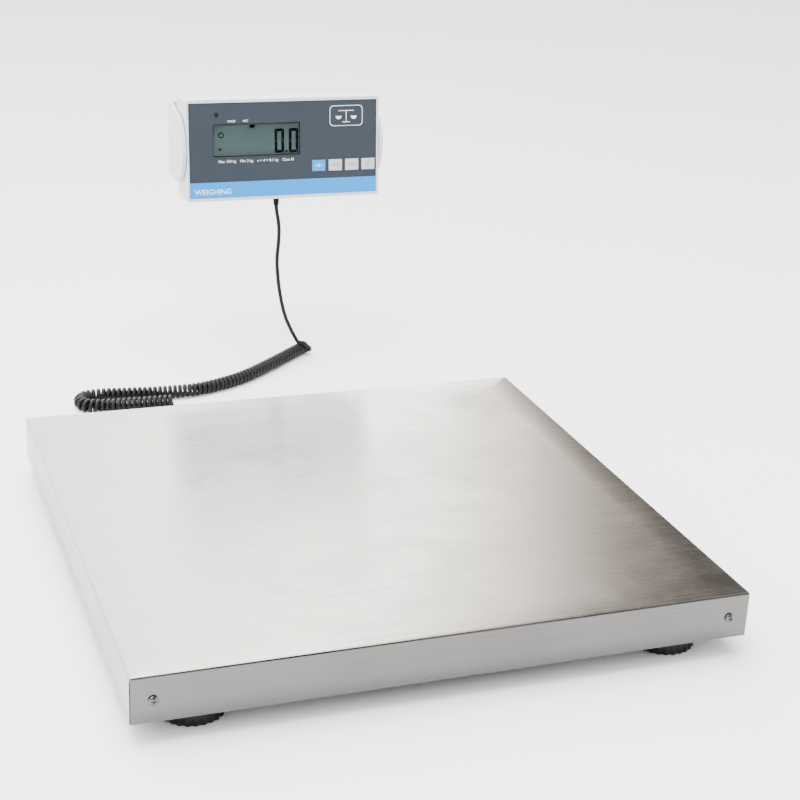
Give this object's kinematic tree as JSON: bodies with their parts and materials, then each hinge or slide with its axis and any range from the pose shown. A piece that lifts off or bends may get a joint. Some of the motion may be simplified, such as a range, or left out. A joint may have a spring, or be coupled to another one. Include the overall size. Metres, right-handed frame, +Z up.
{
  "type": "platform shipping scale",
  "caption": "Low square stainless platform on load cells and levelling feet, with a wall-hung tilting indicator joined to it by a curly cord.",
  "frame": {"origin": "on the floor, midway across the platform and midway between the platform's front screws and the wall", "axes": "+X to the operator's right, +Y from the operator towards the wall, +Z up"},
  "size_m": [0.52, 0.8524, 0.3174],
  "materials": {
    "brushed_stainless": "long fine brush lines across the deck, satin",
    "painted_frame": "semi-matt dark grey paint",
    "zinc_plated": "bright zinc, a little dull",
    "cell_aluminium": "milled, satin",
    "black_plastic": "moulded, slightly shiny",
    "black_rubber": "matt",
    "cable_jacket": "matt PVC",
    "cord_jacket": "satin polyurethane",
    "off_white_plastic": "fine moulded texture",
    "overlay_film": "satin polyester film, a printed blue band along its foot",
    "clear_window": "clear",
    "lcd_glass": "reflective grey-green liquid crystal display",
    "circuit_board": "green solder mask",
    "battery_wrap": "shrink film",
    "key_blue": "moulded, satin",
    "key_grey": "moulded, satin"
  },
  "bodies": {
    "platform": {"platform_cover": "brushed_stainless", "frame_rail_left": "painted_frame", "frame_rail_right": "painted_frame", "frame_channel_front": "painted_frame", "frame_channel_rear": "painted_frame", "frame_rib": "painted_frame", "cover_screw_front_left": "zinc_plated", "load_cell_front_left": "cell_aluminium", "load_cell_bolts_front_left": "zinc_plated", "foot_lock_nut_front_left": "zinc_plated", "load_cell_cable_front_left": "cable_jacket", "cover_screw_front_right": "zinc_plated", "load_cell_front_right": "cell_aluminium", "load_cell_bolts_front_right": "zinc_plated", "foot_lock_nut_front_right": "zinc_plated", "load_cell_cable_front_right": "cable_jacket", "cover_screw_rear_left": "zinc_plated", "load_cell_rear_left": "cell_aluminium", "load_cell_bolts_rear_left": "zinc_plated", "foot_lock_nut_rear_left": "zinc_plated", "load_cell_cable_rear_left": "cable_jacket", "cover_screw_rear_right": "zinc_plated", "load_cell_rear_right": "cell_aluminium", "load_cell_bolts_rear_right": "zinc_plated", "foot_lock_nut_rear_right": "zinc_plated", "load_cell_cable_rear_right": "cable_jacket", "junction_box": "black_plastic", "summing_board": "circuit_board", "cable_gland": "black_plastic", "gland_nut": "black_plastic", "cord_drop": "cord_jacket", "cord_coil": "cord_jacket", "cord_lead": "cord_jacket", "wall_bracket": "off_white_plastic"},
    "indicator_head": {"indicator_front_case": "off_white_plastic", "indicator_rear_case": "off_white_plastic", "front_overlay": "overlay_film", "display_window": "clear_window", "lcd_panel": "lcd_glass", "status_lamp": "black_plastic", "main_board": "circuit_board", "battery_pack": "battery_wrap", "battery_cover": "off_white_plastic", "cord_strain_relief": "black_rubber"},
    "key_zero": {"key_zero": "key_blue"},
    "key_tare": {"key_tare": "key_grey"},
    "key_unit": {"key_unit": "key_grey"},
    "key_power": {"key_power": "key_grey"},
    "foot_lift_front_left": {"foot_sole_front_left": "black_rubber"},
    "foot_screw_front_left": {"foot_disc_front_left": "black_plastic", "foot_stud_front_left": "zinc_plated"},
    "foot_lift_front_right": {"foot_sole_front_right": "black_rubber"},
    "foot_screw_front_right": {"foot_disc_front_right": "black_plastic", "foot_stud_front_right": "zinc_plated"},
    "foot_lift_rear_left": {"foot_sole_rear_left": "black_rubber"},
    "foot_screw_rear_left": {"foot_disc_rear_left": "black_plastic", "foot_stud_rear_left": "zinc_plated"},
    "foot_lift_rear_right": {"foot_sole_rear_right": "black_rubber"},
    "foot_screw_rear_right": {"foot_disc_rear_right": "black_plastic", "foot_stud_rear_right": "zinc_plated"}
  },
  "joints": [
    {"name": "indicator_tilt", "type": "hinge", "parent": "platform", "child": "indicator_head", "pos_m": [0.0778, 0.3907, 0.2581], "axis": [1, 0, 0], "range_deg": [-15, 20], "deforming": ["cord_drop"]},
    {"name": "key_zero_press", "type": "slide", "parent": "indicator_head", "child": "key_zero", "axis": [0, 0.9945, -0.1045], "range_m": [0, 0.0006], "stiffness_N_per_m": 1500},
    {"name": "key_tare_press", "type": "slide", "parent": "indicator_head", "child": "key_tare", "axis": [0, 0.9945, -0.1045], "range_m": [0, 0.0006], "stiffness_N_per_m": 1500},
    {"name": "key_unit_press", "type": "slide", "parent": "indicator_head", "child": "key_unit", "axis": [0, 0.9945, -0.1045], "range_m": [0, 0.0006], "stiffness_N_per_m": 1500},
    {"name": "key_power_press", "type": "slide", "parent": "indicator_head", "child": "key_power", "axis": [0, 0.9945, -0.1045], "range_m": [0, 0.0006], "stiffness_N_per_m": 1500},
    {"name": "foot_rise_front_left", "type": "slide", "parent": "platform", "child": "foot_lift_front_left", "axis": [0, 0, 1], "range_m": [-0.005, 0.005]},
    {"name": "foot_turn_front_left", "type": "hinge", "parent": "foot_lift_front_left", "child": "foot_screw_front_left", "pos_m": [-0.204, -0.3825, 0], "axis": [0, 0, 1], "range_deg": [-1440, 1440]},
    {"name": "foot_rise_front_right", "type": "slide", "parent": "platform", "child": "foot_lift_front_right", "axis": [0, 0, 1], "range_m": [-0.005, 0.005]},
    {"name": "foot_turn_front_right", "type": "hinge", "parent": "foot_lift_front_right", "child": "foot_screw_front_right", "pos_m": [0.204, -0.3825, 0], "axis": [0, 0, 1], "range_deg": [-1440, 1440]},
    {"name": "foot_rise_rear_left", "type": "slide", "parent": "platform", "child": "foot_lift_rear_left", "axis": [0, 0, 1], "range_m": [-0.005, 0.005]},
    {"name": "foot_turn_rear_left", "type": "hinge", "parent": "foot_lift_rear_left", "child": "foot_screw_rear_left", "pos_m": [-0.204, 0.0555, 0], "axis": [0, 0, 1], "range_deg": [-1440, 1440]},
    {"name": "foot_rise_rear_right", "type": "slide", "parent": "platform", "child": "foot_lift_rear_right", "axis": [0, 0, 1], "range_m": [-0.005, 0.005]},
    {"name": "foot_turn_rear_right", "type": "hinge", "parent": "foot_lift_rear_right", "child": "foot_screw_rear_right", "pos_m": [0.204, 0.0555, 0], "axis": [0, 0, 1], "range_deg": [-1440, 1440]}
  ],
  "couplings": [
    {"joint": "foot_turn_front_left", "follows": "foot_rise_front_left", "rad_per_m": 5026.5},
    {"joint": "foot_turn_front_right", "follows": "foot_rise_front_right", "rad_per_m": 5026.5},
    {"joint": "foot_turn_rear_left", "follows": "foot_rise_rear_left", "rad_per_m": 5026.5},
    {"joint": "foot_turn_rear_right", "follows": "foot_rise_rear_right", "rad_per_m": 5026.5}
  ]
}
